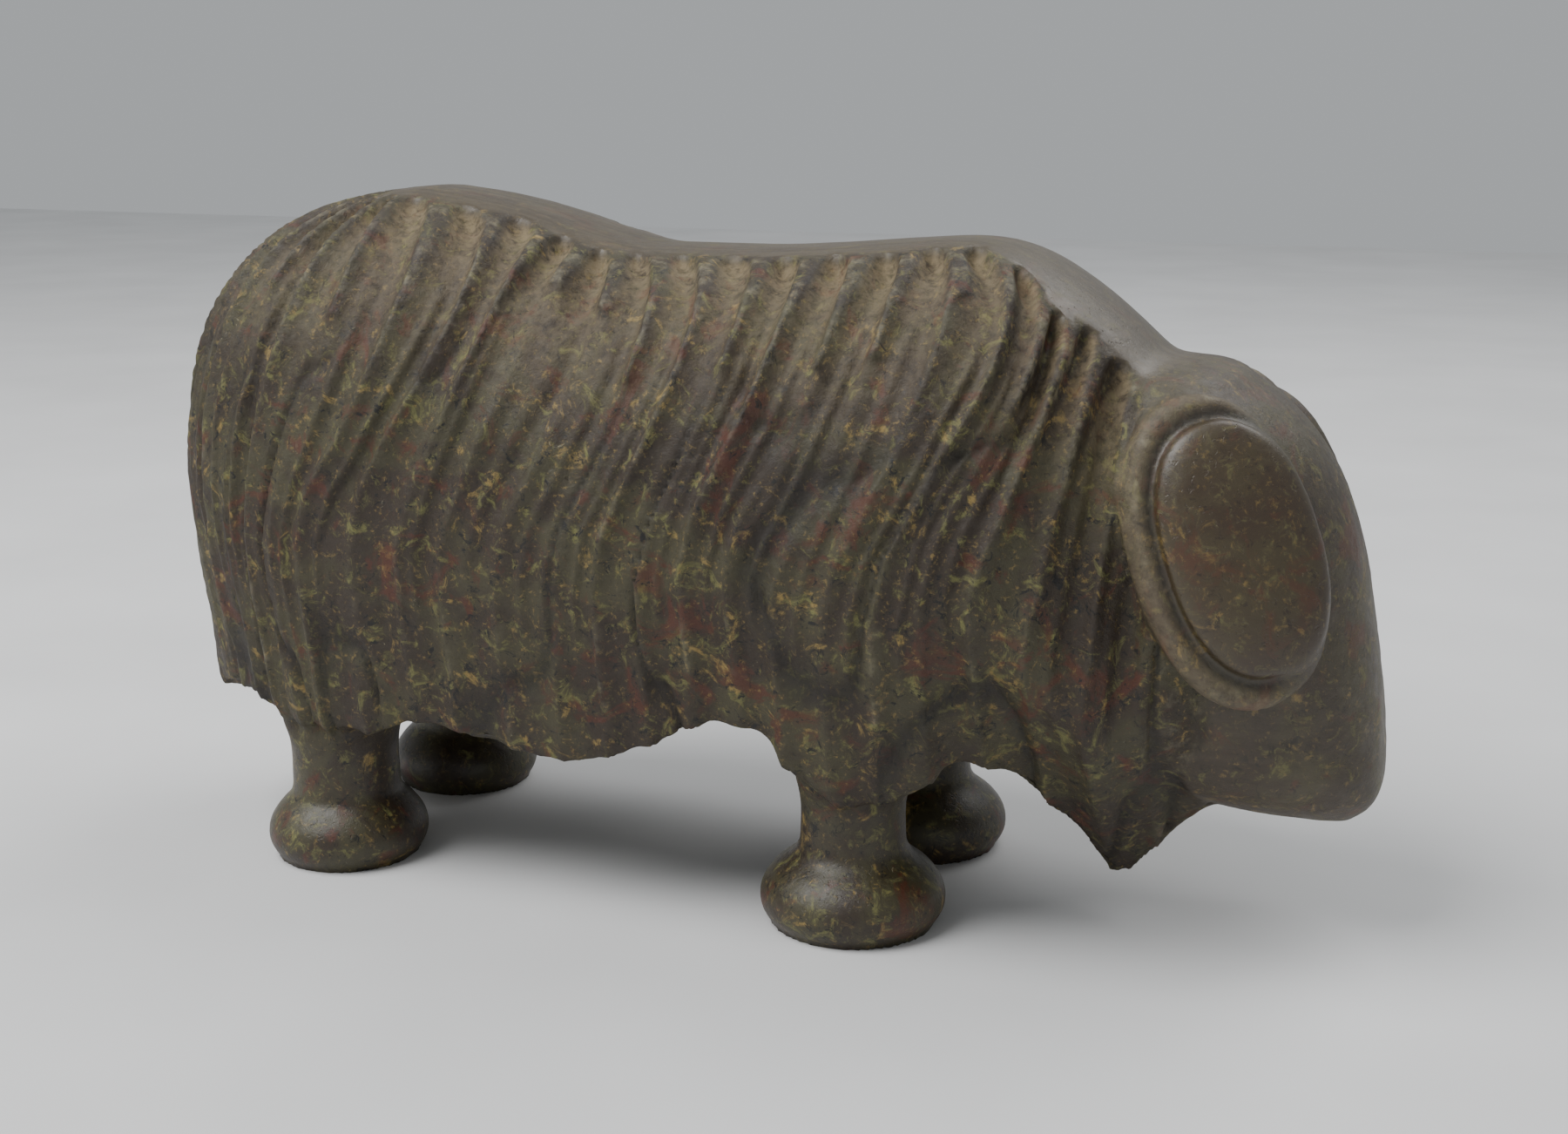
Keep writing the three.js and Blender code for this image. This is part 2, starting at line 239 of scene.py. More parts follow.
# The uncut coat. Behind the hump the section turns round an upright line through the hump.
def coatPoint(c, s, side):
    c, s = np.broadcast_arrays(np.asarray(c, float), np.asarray(s, float))
    out, height = sectionPoint(c, s)
    hump = coat["hump"]
    turn = (math.pi / 2) * np.clip((hump - c) / (hump - coat["rear"]), 0, 1)
    reach = out * coat["rumpLength"] / coat["halfWidths"][0][1]
    x = np.where(c >= hump, c, hump - reach * squared(np.sin(turn), coat["rumpPower"]))
    y = out * np.where(c >= hump, 1, squared(np.cos(turn), coat["rumpPower"]))
    slump = coat["rumpSlump"] * np.sin(turn) * np.sin(math.pi * np.minimum(1, 2 * s))
    return np.stack([x, side * y, height - slump], axis=-1)


# Closed surface from rings: quads between neighbouring rings and strips across the two end rings.
def ringSurface(points):
    rings, sides = points.shape[:2]
    r, k = np.meshgrid(np.arange(rings - 1), np.arange(sides), indexing="ij")
    following = (k + 1) % sides
    wall = np.stack([r * sides + k, r * sides + following, (r + 1) * sides + following, (r + 1) * sides + k], axis=-1)
    j = np.arange(sides // 2)
    strip = np.stack([j, j + 1, sides - j - 1, (sides - j) % sides], axis=-1)
    faces = np.concatenate([wall.reshape(-1, 4), strip[:, ::-1], strip + (rings - 1) * sides])
    return points.reshape(-1, 3), faces


def coatSurface():
    turn = np.linspace(0, 1, coat["columns"])
    c = coat["rear"] + (coat["front"] - coat["rear"]) * turn
    s = np.linspace(0, 1, coat["rows"])
    near = coatPoint(c[:, None], s[None, :], -1)
    far = coatPoint(c[:, None], s[None, ::-1][:, 1:-1], 1)
    return ringSurface(np.concatenate([near, far], axis=1))


# The head: squared ovals stacked in height, blunter at the back than at the face.
def headSurface():
    rows = head["rows"]
    t = np.linspace(0, 1, head["levels"])
    height = rows[0][0] + (rows[-1][0] - rows[0][0]) * (1 - np.cos(math.pi * t)) / 2
    front, back, half, power = (curveThrough(rows, height, k)[:, None] for k in (1, 2, 3, 4))
    widest = back + head["widest"] * (front - back)
    turn = np.linspace(0, 2 * math.pi, head["sides"], endpoint=False)[None, :]
    forward = np.cos(turn) > 0
    shape = np.where(forward, power, head["backPower"])
    reach = np.where(forward, front - widest, widest - back)
    x = widest + reach * squared(np.cos(turn), shape)
    y = half * squared(np.sin(turn), shape)
    return ringSurface(np.stack([x, y, height[:, None] + 0 * x], axis=-1))


# Plate frame to block frame: tilted in its own plane, leaned in at the top, turned to the face.
def hornPlace(forward, up, out, side):
    tilt, yaw, lean = (math.radians(horn[name]) for name in ("tilt", "yaw", "lean"))
    u = forward * math.cos(tilt) - up * math.sin(tilt)
    v = forward * math.sin(tilt) + up * math.cos(tilt)
    rise = v * math.cos(lean) + out * math.sin(lean)
    proud = out * math.cos(lean) - v * math.sin(lean)
    x = horn["x"] + u * math.cos(yaw) + proud * math.sin(yaw)
    y = horn["y"] - u * math.sin(yaw) + proud * math.cos(yaw)
    return np.stack([x, side * y, horn["z"] + rise], axis=-1)


# Block frame back to plate frame, for carving the plate's band and crease where they lie.
def hornRead(points):
    tilt, yaw, lean = (math.radians(horn[name]) for name in ("tilt", "yaw", "lean"))
    dx, dy, rise = points[:, 0] - horn["x"], np.abs(points[:, 1]) - horn["y"], points[:, 2] - horn["z"]
    u = dx * math.cos(yaw) - dy * math.sin(yaw)
    proud = dx * math.sin(yaw) + dy * math.cos(yaw)
    v = rise * math.cos(lean) - proud * math.sin(lean)
    out = rise * math.sin(lean) + proud * math.cos(lean)
    return u * math.cos(tilt) + v * math.sin(tilt), v * math.cos(tilt) - u * math.sin(tilt), out


# A horn plate: ovals that go from the root inside the head over the rim and the sloping band to the
# swell, which is a quarter of a circle in section.
def hornSurface(side):
    inner = horn["innerShare"]
    swell = horn["bulge"] - horn["bandRise"]
    shares = np.sin(np.linspace(0.48 * math.pi, 0.01, 14))
    rings = [(0.8, 0, -horn["depth"]), (0.98, 0, -2 * horn["rimDrop"]), (1, 0, -horn["rimDrop"]), (0.97, 0, 0),
             (inner, horn["innerShift"], horn["bandRise"])]
    rings += [(inner * share, horn["innerShift"], horn["bandRise"] + swell * math.sqrt(1 - share**2)) for share in shares[1:]]
    share, shift, out = (np.array(values)[:, None] for values in zip(*rings))
    turn = np.linspace(0, 2 * math.pi, 96, endpoint=False)[None, :]
    forward = shift + share * horn["halfLength"] * squared(np.cos(turn), horn["power"])
    up = share * horn["halfHeight"] * squared(np.sin(turn), horn["power"])
    return ringSurface(hornPlace(forward, up, out + 0 * up, side))


# A leg: a profile of radius against height, turned about its upright axis.
def legSurface(pair, side):
    foot, ankle = pair["foot"], pair["ankle"]
    profile = [(0, legs["sole"] * foot), (2, 0.95 * foot), (4.5, foot), (7.5, 0.965 * foot), (10.5, 0.83 * foot),
               (13.2, 0.35 * foot + 0.5 * ankle), (17, 1.02 * ankle), (22, 1.02 * ankle), (30, 1.2 * ankle),
               (legs["top"], 1.28 * ankle)]
    height = np.linspace(0, legs["top"], 60)[:, None]
    radius = curveThrough(profile, height)
    turn = np.linspace(0, 2 * math.pi, legs["sides"], endpoint=False)[None, :]
    x = pair["x"] + radius * np.cos(turn)
    y = side * pair["y"] + radius * np.sin(turn)
    return ringSurface(np.stack([x, y, height + 0 * x], axis=-1))


def meshFromArrays(name, points, faces):
    mesh = bpy.data.meshes.new(name)
    mesh.vertices.add(len(points))
    mesh.vertices.foreach_set("co", np.asarray(points, dtype=np.float32).ravel())
    mesh.loops.add(faces.size)
    mesh.loops.foreach_set("vertex_index", faces.ravel().astype(np.int32))
    mesh.polygons.add(len(faces))
    mesh.polygons.foreach_set("loop_start", np.arange(0, faces.size, faces.shape[1], dtype=np.int32))
    mesh.update(calc_edges=True)
    mesh.validate()
    return mesh


def pointsOf(mesh):
    points = np.empty(len(mesh.vertices) * 3, dtype=np.float32)
    mesh.vertices.foreach_get("co", points)
    return points.reshape(-1, 3).astype(float)


def normalsOf(mesh):
    normals = np.empty(len(mesh.vertices) * 3, dtype=np.float32)
    mesh.vertices.foreach_get("normal", normals)
    return normals.reshape(-1, 3).astype(float)


def edgesOf(mesh):
    edges = np.empty(len(mesh.edges) * 2, dtype=np.int32)
    mesh.edges.foreach_get("vertices", edges)
    return edges.reshape(-1, 2)


# The mesh as a modifier leaves it, made a plain mesh again.
def meshAfter(mesh, kind, **settings):
    holder = bpy.data.objects.new("holder", mesh)
    bpy.context.scene.collection.objects.link(holder)
    modifier = holder.modifiers.new("work", kind)
    for name, value in settings.items():
        setattr(modifier, name, value)
    seen = holder.evaluated_get(bpy.context.evaluated_depsgraph_get())
    result = bpy.data.meshes.new_from_object(seen)
    bpy.data.objects.remove(holder)
    return result


# Moves each point part of the way to the mean of its neighbours, over and over.
def relaxed(points, edges, weight, passes):
    a, b = edges.T
    count = np.bincount(a, minlength=len(points)) + np.bincount(b, minlength=len(points))
    share = (0.5 * weight / np.maximum(count, 1))[:, None]
    for _ in range(passes):
        total = np.stack([np.bincount(a, points[b, k], len(points)) + np.bincount(b, points[a, k], len(points))
                          for k in range(3)], axis=-1)
        points = points + share * (total - count[:, None] * points)
    return points


# Where a point lies on the uncut coat: c, s and how far it stands out from it. The rump's polar turn
# gives c, and the nearest of a row of section points gives s.
def coatRead(points):
    hump, power = coat["hump"], coat["rumpPower"]
    squeeze = coat["rumpLength"] / coat["halfWidths"][0][1]
    y = np.abs(points[:, 1])
    back = np.maximum(hump - points[:, 0], 0) / squeeze
    radial = np.maximum((back**power + y**power) ** (1 / power), 1e-6)
    turn = np.arcsin(np.clip((back / radial) ** (power / 2), 0, 1))
    behind = points[:, 0] < hump
    c = np.where(behind, hump - turn / (math.pi / 2) * (hump - coat["rear"]), points[:, 0])
    out = np.where(behind, radial, y)
    cTable = np.linspace(coat["rear"], coat["front"], 451)
    sTable = np.linspace(0, 1, 81)
    outTable, heightTable = sectionPoint(cTable[:, None], sTable[None, :])
    turnTable = (math.pi / 2) * np.clip((hump - cTable) / (hump - coat["rear"]), 0, 1)
    slump = coat["rumpSlump"] * np.sin(turnTable)[:, None] * np.sin(math.pi * np.minimum(1, 2 * sTable))[None, :]
    heightTable = heightTable - slump
    row = np.clip(np.rint((c - coat["rear"]) / (cTable[1] - cTable[0])).astype(int), 0, len(cTable) - 1)
    s = np.empty(len(points))
    gap = np.empty(len(points))
    for part in np.array_split(np.arange(len(points)), max(1, len(points) // 40000)):
        o, h = outTable[row[part]], heightTable[row[part]]
        do, dh = out[part, None] - o, points[part, 2][:, None] - h
        near = np.argmin(do**2 + dh**2, axis=1)
        low = np.clip(near - 1, 0, len(sTable) - 3)
        line = np.arange(len(part))
        best = np.full(len(part), np.inf)
        for k in (0, 1):
            a, b = low + k, low + k + 1
            eo, eh = o[line, b] - o[line, a], h[line, b] - h[line, a]
            t = np.clip((do[line, a] * eo + dh[line, a] * eh) / np.maximum(eo**2 + eh**2, 1e-9), 0, 1)
            ro, rh = do[line, a] - t * eo, dh[line, a] - t * eh
            distance = ro**2 + rh**2
            better = distance < best
            best = np.where(better, distance, best)
            s[part] = np.where(better, sTable[a] + t * (sTable[1] - sTable[0]), s[part])
            outward = np.sign(-ro * eh * 0 + (eh * -ro + eo * rh))
            gap[part] = np.where(better, np.sqrt(distance) * outward, gap[part])
    return c, s, gap


# The channel that runs through a point of the coat, followed back up to where it starts.
def lockStart(c, s):
    grid = np.linspace(coat["rear"], coat["front"], 901)
    swing, fall = curveThrough(locks["flow"], grid, 1), curveThrough(locks["flow"], grid, 2)
    u = np.clip((s - locks["flowTop"]) / locks["flowLength"], 0, 1.15)
    start = c.copy()
    for _ in range(30):
        shift = np.interp(start, grid, swing) * np.sin(math.pi * np.minimum(u, 1)) - np.interp(start, grid, fall) * u**1.6
        start = 0.5 * start + 0.5 * (c - shift)
    return start


# Depth of the carving at each point of the coat, in mm, and the marks that the stone's finish reads, among them
# painted shade for the creases and a painted highlight for the ridge tops.
def coatRelief(points, c, s):
    start = lockStart(c, s)
    edges = np.array(locks["edges"], dtype=float)
    k = np.clip(np.searchsorted(edges, start, side="right") - 1, 0, len(edges) - 2)
    width = edges[k + 1] - edges[k]
    across = np.clip((start - edges[k]) / width, 0, 1)
    left = points[:, 1] > 0
    tone = stoneNoise(np.stack([k * 1.7 + 0.37, left * 5.3 + 0.4], axis=-1), 3)
    sway = stoneNoise(np.stack([k * 2.3 + 0.2, left * 3.1 + 0.7], axis=-1), 5)
    tip = curveThrough(locks["tips"], start) + 0.03 * (tone - 0.5)
    down = s - tip

    # a channel is a rounded trough, steeper towards the head, between sharp or flat-topped ridges
    flat = locks["flatRidge"] * (1 - ease(down, 0.02, 0.2)) * (0.6 + 0.8 * sway)
    inside = np.clip((across - flat) / (1 - 1.6 * flat), 0, 1)
    trough = 1 - np.abs(2 * inside**1.25 - 1) ** 2.3
    rounded = down - 0.022 * np.abs(2 * inside - 1) ** 2
    scoop = np.clip(rounded / locks["scoopLength"], 0, 1)
    scoop = np.sqrt(1 - (1 - scoop) ** 2)
    along = curveThrough(locks["depths"], np.maximum(down, 0))
    wobble = 1 + 0.35 * layeredNoise(np.stack([start / 14, s * 9], axis=-1), 11, 2)
    depth = locks["depth"] * (0.78 + 0.4 * tone) * along * scoop * trough * wobble * (start < edges[-1])

    for place, size, top, end, amount in locks["between"]:
        near = np.abs(start - place) / (0.5 * size)
        enter = np.clip((s - top - 0.02 * near**2) / 0.03, 0, 1)
        leave = 1 - ease(s, end - 0.1, end)
        cut = amount * np.sqrt(1 - (1 - enter) ** 2) * leave * np.clip(1 - near**2.4, 0, 1)
        depth = np.where(cut > 0.02, np.maximum(depth * (1 - 0.55 * np.clip(cut, 0, 1)) + cut, 0), depth)

    # a raised line splits some channels below their tips
    split = 0.3 + 0.35 * sway
    line = np.exp(-(((across - split) * width / 0.8) ** 2)) * ease(s, 0.2, 0.3) * (1 - ease(s, 0.5, 0.62))
    depth -= 0.8 * line * (tone > 0.3)

    # strands of the lower coat: long ridged noise that follows the channels
    lower = ease(s, 0.24, 0.42) * (1 - ease(s, 0.77, 0.8))
    span = s * 175.0
    warp = 2.2 * layeredNoise(np.stack([start / 16, span / 26], axis=-1), 21, 2)
    strands = stoneNoise(np.stack([(start + warp) / locks["strandWidth"], span / 26 + 3.1 * left], axis=-1), 31)
    strands = 1 - np.abs(2 * strands - 1)
    creases = stoneNoise(np.stack([(start + warp) / locks["creaseWidth"], span / 42 + 7.7 * left], axis=-1), 41)
    creases = np.clip(1 - np.abs(2 * creases - 1) * 5, 0, 1)
    depth += lower * (locks["strandDepth"] * strands + locks["creaseDepth"] * creases**1.5)

    tipShare = np.exp(-np.maximum(down, 0) / 0.13) * (1 - ease(s, 0.28, 0.4))
    dust = ease(depth, 0.4, 1.6) * tipShare
    # painted highlight: the tops of the ridges below the lock tips are painted paler
    paintedCrestHighlight = np.clip(1 - depth / 0.6, 0, 1) * ease(down, 0.0, 0.03)
    # painted shade: the creases of the lower coat are darkened in colour as well as cut
    crease = lower * creases
    return depth, {"dust": dust, "paintedCrestHighlight": paintedCrestHighlight * (1 - ease(s, 0.76, 0.82)), "crease": crease,
                   "back": 1 - ease(down, -0.005, 0.012), "s": s}


# Depth of the carving on the horn plates, in mm: a cut line inside the band on the side of the coat
# and a slight bead outside it.
def hornRelief(points):
    forward, up, out = hornRead(points)
    power = horn["power"]

    def oval(share, shift):
        a, b = share * horn["halfLength"], share * horn["halfHeight"]
        return (np.abs((forward - shift) / a) ** power + np.abs(up / b) ** power) ** (1 / power)

    outer = oval(1, 0)
    inner = oval(horn["innerShare"], horn["innerShift"])
    onPlate = ease(out, -2.6, -1.2) * (1 - ease(outer, 1.02, 1.1))
    scale = horn["innerShare"] * horn["halfLength"]
    coatSide = 1 - ease(forward - horn["innerShift"] - 0.22 * up, 2.0, 9.0)
    # the cut line also gives the mask that the material paints dark, as painted shade in the groove
    lineCut = np.exp(-(((inner - 1) * scale / horn["creaseWidth"]) ** 2))
    # the bead also gives the mask that the material paints pale, as a painted highlight along it
    bead = np.exp(-(((inner - 1) * scale - 1.9) / 1.0) ** 2)
    depth = onPlate * coatSide * (horn["creaseDepth"] * lineCut - horn["beadHeight"] * bead)
    swell = onPlate * (1 - ease(inner, 0.92, 1.0))
    band = onPlate * ease(inner, 1.0, 1.05) * coatSide
    return depth, {"plate": swell, "band": band, "paintedHornLineShade": onPlate * coatSide * lineCut, "outer": outer,
                   "onPlate": onPlate, "bead": bead * onPlate * coatSide}


# Flat chisel cuts round the bottom edge of each foot: whatever stands past a plane goes back to it.
def chiselFeet(points):
    for index, (pair, side) in enumerate(itertools.product(legs["pairs"], (-1, 1))):
        centre = np.array([pair["x"], side * pair["y"], 0.0])
        nearFoot = (np.hypot(points[:, 0] - centre[0], points[:, 1] - centre[1]) < pair["foot"] + 3) & (points[:, 2] < 13)
        for turn in range(5):
            angle = turn * 2 * math.pi / 5 + 0.9 * index + 0.25 * math.sin(3.0 * turn + index)
            slope = 0.38 + 0.16 * math.sin(5.1 * turn + 2 * index)
            normal = np.array([math.cos(angle), math.sin(angle), -slope])
            normal /= np.linalg.norm(normal)
            reach = pair["foot"] * (0.93 + 0.03 * math.sin(2.7 * turn + index))
            past = (points - centre) @ normal - reach * math.hypot(normal[0], normal[1])
            points = points - np.where(nearFoot, np.clip(past, 0, 2.2), 0)[:, None] * normal
    return points


# Which surfaces a point belongs to, from 0 to 1 each.
def whereabouts(points, gap):
    x, y, z = points[:, 0], np.abs(points[:, 1]), points[:, 2]
    leg = np.zeros(len(points))
    for pair in legs["pairs"]:
        away = np.hypot(x - pair["x"], y - pair["y"])
        leg = np.maximum(leg, (1 - ease(away, pair["foot"] + 1, pair["foot"] + 3)) * (1 - ease(z, 21, 27)))
    onCoat = (1 - ease(gap, 0.8, 2.2)) * (1 - leg) * (1 - ease(x, 93, 96))
    headward = ease(x, 76, 84) * (1 - onCoat)
    return onCoat, leg, headward


def joints(points):     # where legs and head meet the coat, and the stone is left rounded
    x, y, z = points[:, 0], np.abs(points[:, 1]), points[:, 2]
    weight = np.zeros(len(points))
    for pair in legs["pairs"]:
        away = np.hypot(x - pair["x"], y - pair["y"])
        collar = (1 - ease(np.abs(z - 25), 3.5, 8)) * (1 - ease(away, 15, 20))
        weight = np.maximum(weight, collar)
    neck = (1 - ease(np.abs(x - 80), 5, 12)) * ease(z, 28, 40)
    throat = (1 - ease(np.abs(x - 88), 6, 12)) * (1 - ease(z, 40, 52)) * ease(z, 14, 20)
    return np.maximum(weight, np.maximum(0.8 * neck, 0.8 * throat))


print("joining coat, head, horns and legs")
parts = [coatSurface(), headSurface(), hornSurface(-1), hornSurface(1)]
parts += [legSurface(pair, side) for pair in legs["pairs"] for side in (-1, 1)]
offsets = np.cumsum([0] + [len(points) for points, faces in parts])
allPoints = np.concatenate([points for points, faces in parts])
allFaces = np.concatenate([faces + offset for (points, faces), offset in zip(parts, offsets)])
rough = meshFromArrays("rough block", allPoints, allFaces)
closed = meshAfter(rough, "REMESH", mode="VOXEL", voxel_size=block["voxel"], adaptivity=0.0)
print("closed surface has", len(closed.vertices), "points")

points = pointsOf(closed)
edges = edgesOf(closed)
flatSole = points[:, 2] < 0.6
hold = np.where(flatSole, 0, 1.0)
points = relaxed(points, edges, hold * joints(points), block["filletPasses"])
points = relaxed(points, edges, hold, block["softenPasses"])
closed.vertices.foreach_set("co", points.astype(np.float32).ravel())
closed.update()
normals = normalsOf(closed)

print("carving locks, horns and feet")
c, s, gap = coatRead(points)
onCoat, leg, headward = whereabouts(points, gap)
coatDepth, coatMarks = coatRelief(points, c, s)
hornDepth, hornMarks = hornRelief(points)
matte = onCoat * (1 - coatMarks["back"]) + 0.5 * headward * (1 - hornMarks["onPlate"])
grit = 0.28 * layeredNoise(points / 5.5, 51, 3) + 0.16 * layeredNoise(points / 1.7, 61, 2)
depth = onCoat * coatDepth * (1 - hornMarks["onPlate"]) + hornDepth + grit * (0.12 + 0.88 * matte)
points = points - depth[:, None] * normals
hemZone = onCoat * np.exp(-(((s - 0.765) / 0.035) ** 2))
ragged = layeredNoise(np.stack([c / 4.5, 0 * c + 3.3], axis=-1), 71, 3) + 0.5
points[:, 2] += locks["hemRaggedness"] * hemZone * ragged * ease(points[:, 2], 5, 9)
points = chiselFeet(points)
points[:, 2] = np.where(flatSole & (points[:, 2] < 0.7), 0, np.maximum(points[:, 2], 0))
closed.vertices.foreach_set("co", points.astype(np.float32).ravel())
closed.update()

triangleCount = sum(len(polygon.vertices) - 2 for polygon in closed.polygons)
carved = meshAfter(closed, "DECIMATE", ratio=min(1.0, block["triangles"] / triangleCount))
print("carved surface has", len(carved.polygons), "faces of", triangleCount)

# The finish reads where each point lies on the animal, so the marks are worked out again here.
points = pointsOf(carved)
c, s, gap = coatRead(points)
onCoat, leg, headward = whereabouts(points, gap)
coatDepth, coatMarks = coatRelief(points, c, s)
hornDepth, hornMarks = hornRelief(points)
# polish sets the roughness, and also where the back and head are painted lighter as a painted sheen
polishAndSheen = np.clip(onCoat * coatMarks["back"] + hornMarks["plate"] + 0.75 * leg + 0.45 * headward, 0, 1)
marks = {
    "polishAndSheen": polishAndSheen,
    "dust": onCoat * coatMarks["dust"] + 0.35 * hornMarks["band"],
    "paintedCrestHighlight": np.clip(onCoat * coatMarks["paintedCrestHighlight"] + hornMarks["bead"], 0, 1),
    "crease": np.clip(onCoat * coatMarks["crease"] + hornMarks["paintedHornLineShade"], 0, 1),
    "plate": hornMarks["plate"],
    "foot": leg,
}
for name, values in marks.items():
    layer = carved.attributes.new(name, "FLOAT", "POINT")
    layer.data.foreach_set("value", values.astype(np.float32))

# Millimetres to metres, with the middle of the block over the origin as in the CAD model.
rearEnd = coat["hump"] - coat["rumpLength"]
frontEnd = max(row[1] for row in head["rows"])
points[:, 0] -= 0.5 * (rearEnd + frontEnd)
points *= 0.001
carved.vertices.foreach_set("co", points.astype(np.float32).ravel())
carved.polygons.foreach_set("use_smooth", np.ones(len(carved.polygons), dtype=bool))
carved.update()
muskOx = bpy.data.objects.new("musk_ox_stone", carved)
bpy.context.scene.collection.objects.link(muskOx)
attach(muskOx, "root")
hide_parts("musk_ox")
print("ox made")


def linearColour(code):     # "#rrggbb" in sRGB to linear red, green, blue, alpha
    parts = [int(code[i:i + 2], 16) / 255 for i in (1, 3, 5)]
    return [value / 12.92 if value <= 0.04045 else ((value + 0.055) / 1.055) ** 2.4 for value in parts] + [1.0]


# Adds a node, sets its properties and sockets, and links the sockets given as other nodes' outputs.
def addNode(tree, kind, properties=None, **sockets):
    node = tree.nodes.new(kind)
    for name, value in (properties or {}).items():
        setattr(node, name, value)
    for name, value in sockets.items():
        socket = node.inputs[int(name[1:])] if name[0] == "i" and name[1:].isdigit() else node.inputs[name.replace("_", " ")]
        if isinstance(value, bpy.types.NodeSocket):
            tree.links.new(value, socket)
        else:
            socket.default_value = value
    return node


stone = {
    "umber": "#2e2317",
    "olive": "#3c3722",
    "black": "#0d0a07",
    "ochre": "#8a733d",
    "lichen": "#6c6a3c",
    "rust": "#4f2413",
    "pale": "#9c9478",
    "dust": "#85765b",
    # painted sheen: the lighter colour of the back's streaks
    "polishedWithSheen": "#5c5242",
    "plate": "#463828",
    "patch": 17.0,      # mm across the broad patches
    "fleck": 4.2,       # mm across the flecks
    "grain": 1.3,       # mm across the fine grain
    "streak": 2.0,      # mm between the polishing lines of the back
}


# Carved soapstone, oiled and waxed: a soft mottled talc rock that takes a low satin sheen where it was
# rubbed and stays chalky and pale where the gouge last cut. Dark umber and olive with ochre, grey-green
# and rust flecks and black specks. The back, and the head faintly, are painted lighter as a painted sheen
# from the light above, with real polishing streaks in it.
def soapstoneMaterial():
    material = bpy.data.materials.new("carved soapstone, waxed")
    material.use_nodes = True
    tree = material.node_tree
    tree.nodes.clear()
    place = addNode(tree, "ShaderNodeTexCoord").outputs["Object"]

    def mark(name):
        return addNode(tree, "ShaderNodeAttribute", {"attribute_name": name}).outputs["Fac"]

    def pattern(size, detail, roughness, distortion=0.0, shift=(0.0, 0.0, 0.0), stretch=(1.0, 1.0, 1.0)):
        scaled = addNode(tree, "ShaderNodeMapping", Vector=place, Location=shift, Scale=stretch).outputs[0]
        return addNode(tree, "ShaderNodeTexNoise", Vector=scaled, Scale=1000.0 / size, Detail=detail,
                       Roughness=roughness, Distortion=distortion).outputs["Fac"]

    def ramp(factor, low, high):
        return addNode(tree, "ShaderNodeMapRange", {"interpolation_type": "SMOOTHSTEP"}, Value=factor,
                       From_Min=low, From_Max=high).outputs[0]

    def times(a, b):
        return addNode(tree, "ShaderNodeMath", {"operation": "MULTIPLY"}, i0=a, i1=b).outputs[0]

    def blend(factor, a, b, mode="MIX"):
        node = addNode(tree, "ShaderNodeMix", {"data_type": "RGBA", "blend_type": mode})
        for socket, value in ((node.inputs[0], factor), (node.inputs[6], a), (node.inputs[7], b)):
            if isinstance(value, bpy.types.NodeSocket):
                tree.links.new(value, socket)
            else:
                socket.default_value = value
        return node.outputs[2]

    patches = pattern(stone["patch"], 5.0, 0.62, 0.6)
    colour = blend(ramp(patches, 0.42, 0.6), linearColour(stone["umber"]), linearColour(stone["olive"]))
    flecks = pattern(stone["fleck"], 7.0, 0.72, 0.9, (0.3, 0.1, 0.7))
    colour = blend(ramp(flecks, 0.53, 0.7), colour, linearColour(stone["lichen"]))
    ochre = times(ramp(pattern(6.5, 6.0, 0.7, 1.2, (1.3, 0.4, 0.2)), 0.56, 0.68), ramp(pattern(2.2, 3.0, 0.6), 0.4, 0.6))
    colour = blend(ochre, colour, linearColour(stone["ochre"]))
    rust = times(ramp(pattern(9.0, 5.0, 0.65, 0.8, (2.1, 1.7, 0.9)), 0.54, 0.66), 0.75)
    colour = blend(rust, colour, linearColour(stone["rust"]))
    black = ramp(pattern(2.6, 6.0, 0.75, 1.0, (0.6, 2.2, 1.4)), 0.56, 0.64)
    colour = blend(black, colour, linearColour(stone["black"]))
    grain = ramp(pattern(stone["grain"], 4.0, 0.7, 0.3), 0.56, 0.76)
    colour = blend(times(grain, 0.7), colour, linearColour(stone["ochre"]))
    pale = ramp(pattern(3.4, 5.0, 0.8, 1.6, (3.1, 0.6, 2.4)), 0.66, 0.74)
    colour = blend(times(pale, 0.6), colour, linearColour(stone["pale"]))

    dustMottle = ramp(pattern(2.0, 5.0, 0.7, 0.4, (0.9, 0.2, 0.5)), 0.25, 0.62)
    colour = blend(times(times(mark("dust"), dustMottle), 0.95), colour, linearColour(stone["dust"]))
    # painted sheen: the back is painted in lighter browns than the stone, standing for its sheen under the light
    # above; the streaks in it are real polishing lines
    streaks = pattern(stone["streak"], 5.0, 0.65, 0.2, (0, 0, 0), (0.06, 1.0, 1.0))
    rubbedWithPaintedSheen = blend(ramp(streaks, 0.3, 0.7), linearColour("#463c2f"), linearColour(stone["polishedWithSheen"]))
    foot = mark("foot")
    plate = mark("plate")
    polishAndSheen = mark("polishAndSheen")
    backShare = addNode(tree, "ShaderNodeMath", {"operation": "SUBTRACT", "use_clamp": True}, i0=polishAndSheen, i1=foot).outputs[0]
    backShare = addNode(tree, "ShaderNodeMath", {"operation": "SUBTRACT", "use_clamp": True}, i0=backShare, i1=plate).outputs[0]
    colour = blend(times(backShare, 0.72), colour, rubbedWithPaintedSheen)
    colour = blend(times(plate, 0.45), colour, linearColour(stone["plate"]))
    # painted highlight: the ridge tops of the locks and the bead on the horn plates are blended towards pale, in
    # patches
    paintedCrestHighlight = times(mark("paintedCrestHighlight"), ramp(pattern(5.0, 4.0, 0.7), 0.45, 0.7))
    colour = blend(times(paintedCrestHighlight, 0.35), colour, linearColour(stone["pale"]))
    # painted shade: the coat's creases and the cut line of the horn plates are blended towards black
    crease = mark("crease")
    colour = blend(times(crease, 0.6), colour, linearColour(stone["black"]))

